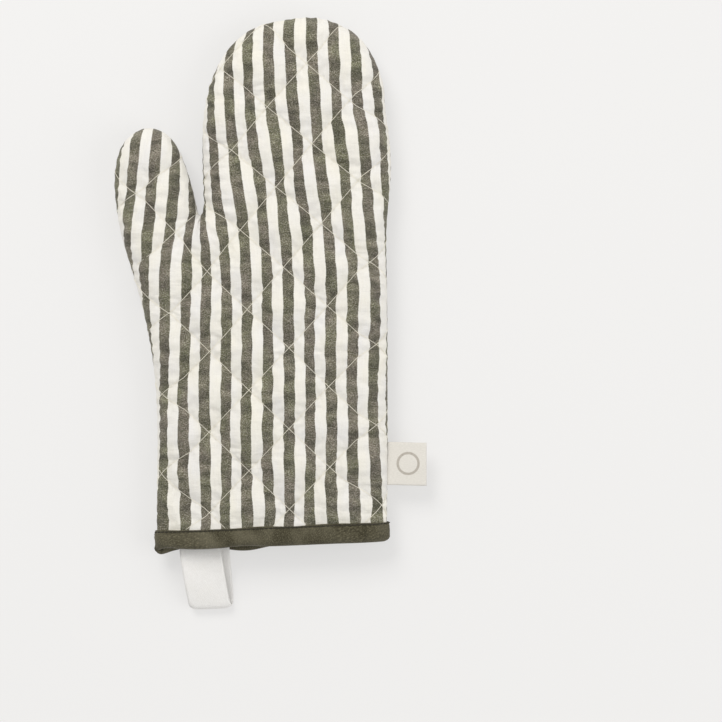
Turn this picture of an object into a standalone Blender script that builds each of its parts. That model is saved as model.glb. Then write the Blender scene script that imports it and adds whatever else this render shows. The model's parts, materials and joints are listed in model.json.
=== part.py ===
"""Quilted cotton oven mitt, lying flat on its back panel, as an assembly of cloth layers and trim.

Metres, +Z up. The fingers point along +Y, the thumb is on -X and the cuff's mouth faces -Y. The
origin is under the middle of the whole object, on the surface that it lies on.

Each panel is three layers, a striped shell, its wadding and a lining, and each layer is divided at
the two places where the mitt bends: across the knuckles, and across the root of the thumb. V-shaped
gaps there leave room for each fold.
"""

import math

import bmesh
import bpy
from mathutils import Matrix, Vector
from mathutils.geometry import delaunay_2d_cdt

MM = 0.001

# Thickness of the whole mitt: two domed panels that meet in the plane of the side seam.
HALF_THICKNESS = 13.5 * MM
SEAM_GAP = 0.3 * MM
SEAM_WALL = 2.0 * MM
ROUNDING = 16.0 * MM
ROUNDING_STEPS = (2.0 * MM, 7.0 * MM, 16.0 * MM)
SEAM_Z = HALF_THICKNESS

# The seam line, in millimetres, from the mouth's right corner up, round and back to its left corner.
# It runs on past the hem at both ends, and is trimmed there.
RIGHT_SIDE = [(71.9, -165), (71.9, -120), (72.1, -80), (72.1, -35), (71.9, 10), (71.4, 50), (74.0, 84)]
CROWN = [(73.6, 103), (70.6, 128), (69.4, 142), (62.9, 159), (53.5, 171.5), (41, 179), (26, 182.8)]
HAND_LEFT = [(8, 181.2), (-9, 177), (-22, 168), (-31.5, 155.5), (-38.5, 138), (-41.8, 118), (-42.2, 95)]
CROTCH_NOTCH = [(-41.6, 77), (-41.5, 67), (-42.2, 62.4), (-43.6, 60.8), (-45, 62.4), (-46, 67)]
THUMB_INNER = [(-48.1, 76.6), (-52.5, 91), (-58.5, 104.5)]
THUMB_TIP = [(-66, 112), (-75.5, 114.7), (-85, 111.2), (-92.5, 102.5), (-96, 89), (-96.1, 73)]
LEFT_SIDE = [(-92.3, 49), (-85.2, 25), (-79, 3), (-73.9, -22), (-70.9, -48), (-70, -80)]
LEFT_CUFF = [(-70.6, -120), (-70.4, -165)]
SEAM_POINTS = (
    RIGHT_SIDE + CROWN + HAND_LEFT + CROTCH_NOTCH + THUMB_INNER + THUMB_TIP + LEFT_SIDE + LEFT_CUFF
)
SEAM_SPACING = 15.0 * MM
FILL_SPACING = 30.0 * MM

# The layers of a panel, each as its depth under the panel's outer face and its thickness.
LAYERS = {
    "shell": (0.0, 1.0 * MM),
    "wadding": (1.4 * MM, 3.0 * MM),
    "lining": (4.8 * MM, 0.8 * MM),
}
STACK = 5.6 * MM
LAYER_GAP = 0.4 * MM

# The hem, which rises a little towards the right, and the binding folded over it.
HEM_LEFT = Vector((-70.3 * MM, -146.2 * MM))
HEM_RIGHT = Vector((71.9 * MM, -140.1 * MM))
BINDING_WALL = 1.0 * MM
BINDING_HEIGHT = 12.4 * MM
CUFF_PINCH = 2.6 * MM
PINCH_RUN = 7.0 * MM
STITCH_RADIUS = 0.35 * MM
STITCH_HEIGHT = 10.0 * MM

# Where the mitt bends. The folds lie in the seam plane and turn up to 60 degrees each way.
FOLD_ANGLE = math.radians(60)
FOLD_CLEARANCE = 0.6 * MM
FINGER_FOLD_Y = 82.0 * MM
CROTCH = Vector((-43.3 * MM, 60.8 * MM))
THUMB_OUT = Vector((-0.67, 0.742)).normalized()
THUMB_FOLD = CROTCH + THUMB_OUT * 20.0 * MM

# The hanging loop of folded tape, in the hem's own frame: out from the hem, then up.
TAPE_THICKNESS = 1.2 * MM
LOOP_CENTRE_X = -40.4 * MM
LOOP_WIDTH = 25.6 * MM
LOOP_PIVOT = (2.6 * MM, 11.4 * MM)
LOOP_PROFILE = [
    (3.4, 10.2), (8, 8.4), (14, 5.2), (20, 2.6), (26, 1.1), (32, 0.8), (35.4, 1.7), (36.7, 4.2),
    (35.4, 6.9), (32, 8.3), (26, 9.4), (20, 10.7), (14, 12.0), (8, 12.7), (3.4, 12.6),
]
LOOP_END_LENGTH = 11.0 * MM
LOOP_END_THICKNESS = 2.0 * MM
TACK_SIZE = (21.0 * MM, 3.0 * MM, 0.5 * MM)

# The label, a tape folded in two and caught in the right side seam.
LABEL_ROOT_X = 72.8 * MM
LABEL_TIP_X = 96.1 * MM
LABEL_PIVOT_X = 73.2 * MM
LABEL_CENTRE_Y = -92.2 * MM
LABEL_WIDTH = 26.5 * MM
LABEL_THICKNESS = 0.4 * MM
LABEL_HALF_GAP = 0.5 * MM

COLOURS = {
    "striped_cotton": ((0.42, 0.40, 0.34), 0.9),
    "wadding": ((0.88, 0.86, 0.80), 1.0),
    "lining_cotton": ((0.80, 0.78, 0.71), 0.9),
    "binding_cotton": ((0.085, 0.075, 0.045), 0.85),
    "dark_thread": ((0.05, 0.045, 0.03), 0.7),
    "white_tape": ((0.84, 0.84, 0.82), 0.85),
    "label_tape": ((0.80, 0.79, 0.75), 0.8),
}
LAYER_MATERIALS = {"shell": "striped_cotton", "wadding": "wadding", "lining": "lining_cotton"}


def clear_scene():
    for obj in list(bpy.data.objects):
        bpy.data.objects.remove(obj)


def make_materials():
    made = {}
    for name, (colour, roughness) in COLOURS.items():
        material = bpy.data.materials.new(name)
        material.use_nodes = True
        shader = material.node_tree.nodes["Principled BSDF"]
        shader.inputs["Base Color"].default_value = (*colour, 1.0)
        shader.inputs["Roughness"].default_value = roughness
        shader.inputs["Metallic"].default_value = 0.0
        made[name] = material
    return made


def make_body(name, place, collection, parent=None):
    """An empty on the joint's axis that the pieces of one body hang from."""
    body = bpy.data.objects.new(name, None)
    body.empty_display_size = 0.02
    body.location = Vector(place) - (parent.location if parent else Vector())
    body.parent = parent
    collection.objects.link(body)
    return body


def add_piece(name, data, body, place, material, collection):
    """Makes an object from data in world space, and hangs it on its body."""
    data.transform(Matrix.Translation(-Vector(place)))
    data.materials.append(material)
    piece = bpy.data.objects.new(name, data)
    piece.parent = body
    collection.objects.link(piece)
    return piece


def thicken(piece, thickness, depth=0.0, outward=0.0):
    """Gives an open surface a thickness, from depth under the surface, or from outward above it."""
    solidify = piece.modifiers.new("Thickness", "SOLIDIFY")
    solidify.thickness = thickness
    solidify.offset = -1.0 - 2.0 * (depth - outward) / thickness
    solidify.use_even_offset = True
    solidify.use_quality_normals = True


# ---------------------------------------------------------------- the panels' outer face


def smooth_path(points, spacing):
    """Catmull-Rom curve through the points, sampled about this far apart."""
    padded = [points[0], *points, points[-1]]
    path = []
    for before, start, end, after in zip(padded, padded[1:], padded[2:], padded[3:]):
        steps = max(1, round((end - start).length / spacing))
        for step in range(steps):
            t = step / steps
            path.append(
                0.5
                * (
                    2 * start
                    + (end - before) * t
                    + (2 * before - 5 * start + 4 * end - after) * t**2
                    + (3 * start - before - 3 * end + after) * t**3
                )
            )
    return path + [points[-1]]


def inset_path(path, distance):
    """Each point of the path moved inwards, to the left of its direction, mitred at corners."""
    moved = []
    for i, point in enumerate(path):
        before = (point - path[max(i - 1, 0)]).normalized()
        after = (path[min(i + 1, len(path) - 1)] - point).normalized()
        ahead = (before + after).normalized()
        side = Vector((-ahead.y, ahead.x))
        half_turn = max(0.7, abs(ahead.dot(after if i == 0 else before)))
        moved.append(point + side * distance / half_turn)
    return moved


def distance_to(path, point):
    nearest = math.inf
    for start, end in zip(path, path[1:]):
        along = end - start
        t = max(0.0, min(1.0, (point - start).dot(along) / along.length_squared))
        nearest = min(nearest, (point - start - along * t).length)
    return nearest


def inside(polygon, point):
    crossings = 0
    for start, end in zip(polygon, polygon[1:] + polygon[:1]):
        if (start.y > point.y) != (end.y > point.y):
            x = start.x + (point.y - start.y) * (end.x - start.x) / (end.y - start.y)
            crossings += x > point.x
    return crossings % 2 == 1


def dome_height(distance):
    """Height of a panel's outer face over the top of its seam wall, this far in from the seam."""
    inward = 1.0 - min(distance / ROUNDING, 1.0)
    crown = HALF_THICKNESS - SEAM_GAP / 2 - SEAM_WALL
    return crown * math.sqrt(1.0 - inward**2)


def plan_points(seam):
    """The face's points in plan, each with its distance from the seam, and the edges to keep."""
    points = [(point, 0.0) for point in seam]
    edges = [(i, (i + 1) % len(seam)) for i in range(len(seam))]
    for distance in ROUNDING_STEPS:
        last = None
        for i, point in enumerate(inset_path(seam, distance)):
            if distance_to(seam, point) < 0.93 * distance or not inside(seam, point):
                last = None
                continue
            points.append((point, distance))
            if last is not None:
                edges.append((last, len(points) - 1))
            last = len(points) - 1
    columns = range(-4, 4)
    rows = range(-6, 7)
    for column in columns:
        for row in rows:
            point = Vector((column + 0.5, row)) * FILL_SPACING
            if inside(seam, point) and distance_to(seam, point) > ROUNDING + FILL_SPACING / 4:
                points.append((point, ROUNDING))
    return points, edges


def front_face():
    """The front panel's outer face, open along the seam plane and at the hem."""
    seam = smooth_path([Vector(point) * MM for point in SEAM_POINTS], SEAM_SPACING)
    points, edges = plan_points(seam)
    flat, _, faces, sources, _, _ = delaunay_2d_cdt([p for p, _ in points], edges, [], 1, 1e-7)
    face = bmesh.new()
    wall_top = SEAM_Z + SEAM_GAP / 2 + SEAM_WALL
    for place, origins in zip(flat, sources):
        distance = points[origins[0]][1] if origins else distance_to(seam, place)
        face.verts.new((place.x, place.y, wall_top + dome_height(distance)))
    face.verts.ensure_lookup_table()
    for corners in faces:
        face.faces.new([face.verts[corner] for corner in corners])
    bmesh.ops.recalc_face_normals(face, faces=face.faces[:])
    if sum(f.normal.z for f in face.faces) < 0:
        bmesh.ops.reverse_faces(face, faces=face.faces[:])
    add_seam_wall(face)
    trim_to_hem(face)
    return face


def add_seam_wall(face):
    """Carries the face straight down to the seam plane."""
    rim = [edge for edge in face.edges if edge.is_boundary]
    made = bmesh.ops.extrude_edge_only(face, edges=rim)["geom"]
    for vert in made:
        if isinstance(vert, bmesh.types.BMVert):
            vert.co.z = SEAM_Z + SEAM_GAP / 2
    bmesh.ops.recalc_face_normals(face, faces=face.faces[:])
    if sum(f.normal.z for f in face.faces) < 0:
        bmesh.ops.reverse_faces(face, faces=face.faces[:])


def hem_up():
    along = (HEM_RIGHT - HEM_LEFT).normalized()
    return Vector((-along.y, along.x))


def height_over_hem(point):
    return (Vector((point.x, point.y)) - HEM_LEFT).dot(hem_up())


def cut(mesh, place, normal, geometry=None, clear=False):
    everything = mesh.verts[:] + mesh.edges[:] + mesh.faces[:]
    bmesh.ops.bisect_plane(
        mesh,
        geom=everything if geometry is None else geometry,
        dist=1e-6,
        plane_co=(place.x, place.y, 0.0),
        plane_no=(normal.x, normal.y, 0.0),
        clear_inner=clear,
    )


def trim_to_hem(face):
    """Cuts the face at the cloth's raw edge, and pinches it where the binding grips it."""
    up = hem_up()
    raw_edge = BINDING_WALL + LAYER_GAP
    cut(face, HEM_LEFT + up * raw_edge, up, clear=True)
    for height in (BINDING_HEIGHT + LAYER_GAP, BINDING_HEIGHT + LAYER_GAP + PINCH_RUN):
        cut(face, HEM_LEFT + up * height, up)
    face.normal_update()
    moves = []
    for vert in face.verts:
        over = height_over_hem(vert.co) - BINDING_HEIGHT - LAYER_GAP
        grip = 1.0 - max(0.0, min(1.0, over / PINCH_RUN))
        if grip > 0.0:
            moves.append((vert, vert.normal * vert.calc_shell_factor() * CUFF_PINCH * grip))
    for vert, move in moves:
        vert.co -= move


# ---------------------------------------------------------------- the panels' layers


def body_at(point, reach):
    """The body that this point of a layer moves with, or None inside a fold's gap."""
    place = Vector((point.x, point.y))
    if place.x < CROTCH.x:
        beyond = (place - THUMB_FOLD).dot(THUMB_OUT)
        ahead = "thumb"
    else:
        beyond = place.y - FINGER_FOLD_Y
        ahead = "fingers"
    if abs(beyond) < reach:
        return None
    return ahead if beyond > 0 else "palm"


def divide(face, reach):
    """Cuts the face on both sides of each fold."""
    for side in (-reach, reach):
        for thumb_side, place, normal in (
            (True, THUMB_FOLD + THUMB_OUT * side, THUMB_OUT),
            (False, Vector((0.0, FINGER_FOLD_Y + side)), Vector((0.0, 1.0))),
        ):
            faces = [
                f for f in face.faces if (f.calc_center_median().x < CROTCH.x) == thumb_side
            ]
            edges = {edge for f in faces for edge in f.edges}
            verts = {vert for f in faces for vert in f.verts}
            cut(face, place, normal, [*verts, *edges, *faces])


def layer_mesh(name, outer, body, reach, is_back):
    """One body's share of a layer's outer face, turned over for the back panel."""
    piece = outer.copy()
    divide(piece, reach)
    others = [f for f in piece.faces if body_at(f.calc_center_median(), reach) != body]
    bmesh.ops.delete(piece, geom=others, context="FACES")
    if is_back:
        for vert in piece.verts:
            vert.co.z = 2 * SEAM_Z - vert.co.z
        bmesh.ops.reverse_faces(piece, faces=piece.faces[:])
    data = bpy.data.meshes.new(name)
    piece.to_mesh(data)
    piece.free()
    return data


def make_panels(bodies, places, materials, collection):
    outer = front_face()
    for side in ("front", "back"):
        for layer, (depth, thickness) in LAYERS.items():
            height = HALF_THICKNESS - depth
            reach = height * math.tan(FOLD_ANGLE / 2) + FOLD_CLEARANCE
            for body in ("palm", "thumb", "fingers"):
                name = f"{side}_{layer}_{body}"
                data = layer_mesh(name, outer, body, reach, side == "back")
                piece = add_piece(
                    name, data, bodies[body], places[body], materials[LAYER_MATERIALS[layer]], collection
                )
                thicken(piece, thickness, depth=depth)
    outer.free()


# ---------------------------------------------------------------- the cuff's trim


def mouth_section(height, outward):
    """The closed outline of the mouth at this height over the hem's edge, moved outward."""
    along = (HEM_RIGHT - HEM_LEFT).normalized()
    base = HEM_LEFT + hem_up() * height
    sides = []
    for low, high in ((LEFT_CUFF[1], LEFT_CUFF[0]), (RIGHT_SIDE[0], RIGHT_SIDE[1])):
        low = Vector(low) * MM
        run = Vector(high) * MM - low
        t = (base - low).dot(hem_up()) / run.dot(hem_up())
        sides.append((low + run * t - base).dot(along))
    left, right = sides
    rise = SEAM_GAP / 2 + SEAM_WALL
    arch = [(0.0, rise)] + [(d, rise + dome_height(d)) for d in ROUNDING_STEPS]
    outline = [(right - d, z) for d, z in arch] + [(left + d, z) for d, z in reversed(arch)]
    outline += [(left + d, -z) for d, z in arch] + [(right - d, -z) for d, z in reversed(arch)]
    closed = [Vector(point) for point in outline]
    moved = []
    for i, point in enumerate(closed):
        before = (point - closed[i - 1]).normalized()
        after = (closed[(i + 1) % len(closed)] - point).normalized()
        ahead = (before + after).normalized()
        side = Vector((ahead.y, -ahead.x))
        moved.append(point + side * outward / ahead.dot(after))
    return [
        Vector((*(base + along * across.x), SEAM_Z + across.y))
        for across in moved
    ]


def binding_mesh():
    """A U-shaped fold over the hem's raw edge, all the way round the mouth."""
    outer = LAYER_GAP - CUFF_PINCH
    inner = -CUFF_PINCH - STACK - LAYER_GAP
    half = BINDING_WALL / 2
    fold = [
        (BINDING_HEIGHT, outer + half),
        (half, outer + half),
        (half, inner - half),
        (BINDING_HEIGHT, inner - half),
    ]
    mesh = bmesh.new()
    rings = [[mesh.verts.new(p) for p in mouth_section(*place)] for place in fold]
    for first, second in zip(rings, rings[1:]):
        for i in range(len(first)):
            corners = (first[i - 1], first[i], second[i], second[i - 1])
            mesh.faces.new(corners)
    bmesh.ops.recalc_face_normals(mesh, faces=mesh.faces[:])
    data = bpy.data.meshes.new("cuff_binding")
    mesh.to_mesh(data)
    mesh.free()
    return data


def stitch_curve():
    """The row of top-stitching round the binding, as one thread."""
    outward = LAYER_GAP - CUFF_PINCH + BINDING_WALL + LAYER_GAP + STITCH_RADIUS
    curve = bpy.data.curves.new("cuff_stitching", "CURVE")
    curve.dimensions = "3D"
    curve.bevel_depth = STITCH_RADIUS
    curve.bevel_resolution = 0
    places = mouth_section(STITCH_HEIGHT, outward)
    thread = curve.splines.new("POLY")
    thread.points.add(len(places) - 1)
    for point, place in zip(thread.points, places):
        point.co = (*place, 1.0)
    thread.use_cyclic_u = True
    return curve


def hem_frame():
    """Turns (across, in from the hem's edge, up) into world space, at the loop's centre."""
    along = (HEM_RIGHT - HEM_LEFT).normalized()
    up = hem_up()
    across = (LOOP_CENTRE_X - HEM_LEFT.x) / along.x
    centre = HEM_LEFT + along * across
    frame = Matrix.Identity(4)
    frame.col[0][:2] = along
    frame.col[1][:2] = up
    frame.col[3][:2] = centre
    return frame


def tape_mesh(name, profile, width, frame):
    """An open strip that follows a profile in the frame's YZ plane."""
    mesh = bmesh.new()
    rows = [
        [mesh.verts.new((side * width / 2, y, z)) for side in (-1, 1)]
        for y, z in profile
    ]
    for first, second in zip(rows, rows[1:]):
        mesh.faces.new((first[0], first[1], second[1], second[0]))
    mesh.transform(frame)
    data = bpy.data.meshes.new(name)
    mesh.to_mesh(data)
    mesh.free()
    return data


def block_mesh(name, size, centre, frame):
    mesh = bmesh.new()
    bmesh.ops.create_cube(mesh, size=1.0)
    mesh.transform(frame @ Matrix.Translation(centre) @ Matrix.Diagonal((*size, 1.0)))
    data = bpy.data.meshes.new(name)
    mesh.to_mesh(data)
    mesh.free()
    return data


def make_cuff(bodies, places, materials, collection):
    palm, at_palm = bodies["palm"], places["palm"]
    binding = add_piece(
        "cuff_binding", binding_mesh(), palm, at_palm, materials["binding_cotton"], collection
    )
    thicken(binding, BINDING_WALL, outward=BINDING_WALL / 2)
    add_piece("cuff_stitching", stitch_curve(), palm, at_palm, materials["dark_thread"], collection)

    frame = hem_frame()
    mouth_floor = CUFF_PINCH + STACK + 2 * LAYER_GAP + BINDING_WALL
    ends_z = mouth_floor + LOOP_END_THICKNESS / 2
    ends = block_mesh(
        "loop_ends",
        (LOOP_WIDTH, LOOP_END_LENGTH, LOOP_END_THICKNESS),
        (0.0, LOOP_END_LENGTH / 2, ends_z),
        frame,
    )
    add_piece("loop_ends", ends, palm, at_palm, materials["white_tape"], collection)
    tack_z = mouth_floor + LOOP_END_THICKNESS + LAYER_GAP + TACK_SIZE[2] / 2
    tack = block_mesh("loop_bar_tack", TACK_SIZE, (0.0, LOOP_END_LENGTH * 0.7, tack_z), frame)
    add_piece("loop_bar_tack", tack, palm, at_palm, materials["white_tape"], collection)

    profile = [(-out * MM, up * MM) for out, up in LOOP_PROFILE]
    data = tape_mesh("hanging_loop", profile, LOOP_WIDTH, frame)
    loop = add_piece(
        "hanging_loop", data, bodies["loop"], places["loop"], materials["white_tape"], collection
    )
    thicken(loop, TAPE_THICKNESS, outward=TAPE_THICKNESS / 2)


def make_label(bodies, places, materials, collection):
    """The strip runs out from the seam, turns over its round fold and comes back."""
    fold_steps = 4
    profile = [(0.0, -LABEL_HALF_GAP)]
    fold_centre = LABEL_TIP_X - LABEL_ROOT_X - LABEL_HALF_GAP - LABEL_THICKNESS / 2
    for step in range(fold_steps + 1):
        angle = math.pi * (step / fold_steps - 0.5)
        out = fold_centre + LABEL_HALF_GAP * math.cos(angle)
        profile.append((out, LABEL_HALF_GAP * math.sin(angle)))
    profile.append((0.0, LABEL_HALF_GAP))
    frame = Matrix.Translation((LABEL_ROOT_X, LABEL_CENTRE_Y, SEAM_Z)) @ Matrix.Rotation(
        math.radians(-90), 4, "Z"
    )
    data = tape_mesh("side_label", profile, LABEL_WIDTH, frame)
    label = add_piece(
        "side_label", data, bodies["label"], places["label"], materials["label_tape"], collection
    )
    thicken(label, LABEL_THICKNESS, outward=LABEL_THICKNESS / 2)


def main():
    clear_scene()
    collection = bpy.data.collections.new("oven_mitt")
    bpy.context.scene.collection.children.link(collection)
    materials = make_materials()
    loop_out, loop_up = LOOP_PIVOT
    places = {
        "palm": Vector((0.0, 0.0, 0.0)),
        "thumb": Vector((*THUMB_FOLD, SEAM_Z)),
        "fingers": Vector((0.0, FINGER_FOLD_Y, SEAM_Z)),
        "loop": hem_frame() @ Vector((0.0, -loop_out, loop_up)),
        "label": Vector((LABEL_PIVOT_X, LABEL_CENTRE_Y, SEAM_Z)),
    }
    bodies = {"palm": make_body("palm", places["palm"], collection)}
    for name in ("thumb", "fingers", "loop", "label"):
        bodies[name] = make_body(name, places[name], collection, bodies["palm"])
    make_panels(bodies, places, materials, collection)
    make_cuff(bodies, places, materials, collection)
    make_label(bodies, places, materials, collection)


main()
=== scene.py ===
"""Looks for the quilted cotton oven mitt: quilted striped panels, olive binding, tape loop and label.

Lengths are in millimetres and turned into metres where a mesh is made. The fingers point along +Y, the
thumb is on -X, and the mitt lies on its back panel. The outline, folds and trim repeat the CAD model's.
"""

import json
import math
from types import SimpleNamespace

import bpy
import numpy as np
from mathutils.geometry import delaunay_2d_cdt
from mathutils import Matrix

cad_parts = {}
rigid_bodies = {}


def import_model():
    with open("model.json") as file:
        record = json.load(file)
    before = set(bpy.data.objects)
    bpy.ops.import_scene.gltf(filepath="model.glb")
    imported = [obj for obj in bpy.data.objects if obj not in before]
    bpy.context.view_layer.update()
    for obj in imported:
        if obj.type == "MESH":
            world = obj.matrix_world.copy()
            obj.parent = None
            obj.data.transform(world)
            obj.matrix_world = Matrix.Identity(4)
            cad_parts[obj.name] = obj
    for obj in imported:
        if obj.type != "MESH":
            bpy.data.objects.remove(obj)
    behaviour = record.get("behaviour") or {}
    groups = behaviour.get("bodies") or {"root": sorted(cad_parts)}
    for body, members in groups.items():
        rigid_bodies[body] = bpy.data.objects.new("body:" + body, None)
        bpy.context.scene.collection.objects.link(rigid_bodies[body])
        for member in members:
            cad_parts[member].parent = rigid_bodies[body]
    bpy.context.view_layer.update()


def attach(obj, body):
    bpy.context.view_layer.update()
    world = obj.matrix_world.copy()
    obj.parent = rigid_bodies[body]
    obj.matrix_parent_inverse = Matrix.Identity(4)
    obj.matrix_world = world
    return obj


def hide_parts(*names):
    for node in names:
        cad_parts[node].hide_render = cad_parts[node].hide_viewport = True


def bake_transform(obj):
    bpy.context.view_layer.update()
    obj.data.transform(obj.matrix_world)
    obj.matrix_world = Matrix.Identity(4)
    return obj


for startup_object in list(bpy.data.objects):
    bpy.data.objects.remove(startup_object)
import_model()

MM = 0.001

# ---- the CAD model's measures

SEAM_Z = 13.5
RIGHT_SIDE = [(71.9, -165), (71.9, -120), (72.1, -80), (72.1, -35), (71.9, 10), (71.4, 50), (74.0, 84)]
CROWN = [(73.6, 103), (70.6, 128), (69.4, 142), (62.9, 159), (53.5, 171.5), (41, 179), (26, 182.8)]
HAND_LEFT = [(8, 181.2), (-9, 177), (-22, 168), (-31.5, 155.5), (-38.5, 138), (-41.8, 118), (-42.2, 95)]
CROTCH_NOTCH = [(-41.6, 77), (-41.5, 67), (-42.2, 62.4), (-43.6, 60.8), (-45, 62.4), (-46, 67)]
THUMB_INNER = [(-48.1, 76.6), (-52.5, 91), (-58.5, 104.5)]
THUMB_TIP = [(-66, 112), (-75.5, 114.7), (-85, 111.2), (-92.5, 102.5), (-96, 89), (-96.1, 73)]
LEFT_SIDE = [(-92.3, 49), (-85.2, 25), (-79, 3), (-73.9, -22), (-70.9, -48), (-70, -80)]
LEFT_CUFF = [(-70.6, -120), (-70.4, -165)]
SEAM_POINTS = (
    RIGHT_SIDE + CROWN + HAND_LEFT + CROTCH_NOTCH + THUMB_INNER + THUMB_TIP + LEFT_SIDE + LEFT_CUFF
)
HEM_LEFT = np.array([-70.3, -146.2])
HEM_RIGHT = np.array([71.9, -140.1])
HEM_ALONG = (HEM_RIGHT - HEM_LEFT) / np.linalg.norm(HEM_RIGHT - HEM_LEFT)
HEM_UP = np.array([-HEM_ALONG[1], HEM_ALONG[0]])

FINGER_FOLD_Y = 82.0
CROTCH = np.array([-43.3, 60.8])
THUMB_OUT = np.array([-0.67, 0.742]) / math.hypot(0.67, 0.742)
FOLD_FROM_CROTCH = 20.0
THUMB_FOLD = CROTCH + FOLD_FROM_CROTCH * THUMB_OUT

# ---- how the cloth lies

SEAM_STEP = 1.5
HEM_STEP = 1.8
SPLIT_STEP = 1.3
# How far in from the seam the mesh has a ring of points, and where the lattice takes over.
SEAM_RINGS = (0.5, 1.0, 1.7, 2.6, 3.7)
LATTICE_FROM_SEAM = 4.6
# The panels' raw edge is this far over the hem, inside the binding.
RAW_EDGE = 3.0
# The seam lies in a groove between the two panels.
GROOVE = 0.9
GROOVE_HEIGHT = 1.6
WADDING_WALL = 5.2
PINCHED_WALL = 3.6

# The side of the quilting's diamonds, and their width and height.
CELL = 35.5
QUILT_WIDTH = 51.0
QUILT_HEIGHT = 49.5
QUILT_DEPTH = 2.0
QUILT_TILT = 0.044
# Where the mesh has its lines between one stitch line and the middle of the next diamond.
CELL_STEPS = (0.0, 0.8, 1.7, 2.8, 4.1, 5.5, 7.0, 8.6, 10.3, 12.1, 13.9, 15.8)

STRIPE_PITCH = 13.33
STRIPE_WIDTH = 6.6
STRIPE_CENTRE = 11.6

# The thumb's mesh meets the hand's on a line this far beyond the thumb's fold.
SPLIT_BEYOND = -19.0
# Half the length of the bend at each fold; bend_with works it out, but the cloth doesn't bend.
THUMB_BEND = 18.0
FINGER_BEND = 20.0

# Places are worked through this many at a time, to keep the arrays small.
CHUNK = 4000


# What differs between the front and the back of the mitt.
FRONT = SimpleNamespace(
    name="front", side=1, crown=11.7, quilt_start=(11.66, -21.5), stripe_shift=0.0, seed=1
)
BACK = SimpleNamespace(
    name="back", side=-1, crown=13.6, quilt_start=(24.0, -9.0), stripe_shift=4.3, seed=2
)


# ---- small maths


def smoothstep(low, high, value):
    t = np.clip((value - low) / (high - low), 0.0, 1.0)
    return t * t * (3.0 - 2.0 * t)


def ripples(x, y, size, seed, count=9):
    """Smooth random unevenness of about 1, with features of this size. Each use has its own seed."""
    random = np.random.default_rng(seed)
    total = np.zeros_like(x, dtype=float)
    for _ in range(count):
        heading = random.uniform(0.0, math.tau)
        length = size * random.uniform(0.75, 1.9)
        phase = random.uniform(0.0, math.tau)
        total += np.sin(math.tau * (x * math.cos(heading) + y * math.sin(heading)) / length + phase)
    return total / math.sqrt(count)


def unit(vectors):
    return vectors / np.maximum(np.linalg.norm(vectors, axis=-1, keepdims=True), 1e-9)


# ---- the outline


def smooth_path(points, spacing=None, steps=12):
    """Catmull-Rom curve through the points, about this far apart, or in so many steps between two."""
    points = np.array(points, dtype=float)
    padded = np.vstack([points[:1], points, points[-1:]])
    path = []
    for before, start, end, after in zip(padded, padded[1:], padded[2:], padded[3:]):
        if spacing:
            steps = max(1, round(np.linalg.norm(end - start) / spacing))
        for t in np.arange(steps) / steps:
            first = (end - before) * t
            second = (2 * before - 5 * start + 4 * end - after) * t**2
            third = (3 * start - before - 3 * end + after) * t**3
            path.append(0.5 * (2 * start + first + second + third))
    return np.array(path + [points[-1]])


def run_lengths(path):
    """How far along a path each of its points is."""
    return np.concatenate([[0.0], np.cumsum(np.linalg.norm(np.diff(path, axis=0), axis=1))])


def resampled(path, step):
    """The path's places a step apart, and how far along each is."""
    lengths = run_lengths(path)
    places = np.arange(0, lengths[-1], step)
    return np.column_stack([np.interp(places, lengths, column) for column in path.T]), places


SEAM = smooth_path(SEAM_POINTS, SEAM_STEP)
SEAM_RUN = SEAM[1:] - SEAM[:-1]
SEAM_LENGTHS = np.linalg.norm(SEAM_RUN, axis=1)
SEAM_STARTS = run_lengths(SEAM)
SEAM_AHEAD = unit(np.gradient(SEAM, axis=0))
SEAM_INWARD = np.stack([-SEAM_AHEAD[:, 1], SEAM_AHEAD[:, 0]], axis=1)


def height_over_hem(places):
    return (places - HEM_LEFT) @ HEM_UP


def hem_place(along, height):
    """The place in plan this far along the hem from its left end, and this far over its edge."""
    return HEM_LEFT + np.multiply.outer(along, HEM_ALONG) + np.multiply.outer(height, HEM_UP)


def nearest_on_seam(places):
    """For each place: the seam's nearest point, the way in from it, how far in, and how far along."""
    found = [np.empty((0, 6))]
    for start in range(0, len(places), CHUNK):
        part = places[start : start + CHUNK]
        offset = part[:, None, :] - SEAM[None, :-1, :]
        t = np.clip((offset * SEAM_RUN).sum(-1) / SEAM_LENGTHS**2, 0.0, 1.0)
        gap = offset - t[..., None] * SEAM_RUN
        best = (gap**2).sum(-1).argmin(axis=1)
        share = t[np.arange(len(part)), best][:, None]
        foot = SEAM[best] + share * SEAM_RUN[best]
        away = part - foot
        far = np.linalg.norm(away, axis=1)
        square = unit(SEAM_INWARD[best] * (1 - share) + SEAM_INWARD[best + 1] * share)
        trust = smoothstep(0.05, 0.4, far)[:, None]
        away = unit(unit(away) * trust + square * (1 - trust))
        along = SEAM_STARTS[best] + share[:, 0] * SEAM_LENGTHS[best]
        found.append(np.column_stack([foot, away, far, along]))
    found = np.vstack(found)
    return found[:, :2], found[:, 2:4], found[:, 4], found[:, 5]


def inside_mitt(places):
    """Whether each place is within the seam: a line to its right crosses the seam an odd number of times."""
    ends = np.roll(SEAM, -1, axis=0)
    rise = np.where(ends[:, 1] == SEAM[:, 1], 1.0, ends[:, 1] - SEAM[:, 1])
    found = [np.empty(0, dtype=bool)]
    for start in range(0, len(places), CHUNK):
        x, y = places[start : start + CHUNK, :1], places[start : start + CHUNK, 1:]
        spans = (SEAM[:, 1] > y) != (ends[:, 1] > y)
        cross = SEAM[:, 0] + (y - SEAM[:, 1]) * (ends[:, 0] - SEAM[:, 0]) / rise
        found.append((spans & (cross > x)).sum(axis=1) % 2 == 1)
    return np.concatenate(found)


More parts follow.
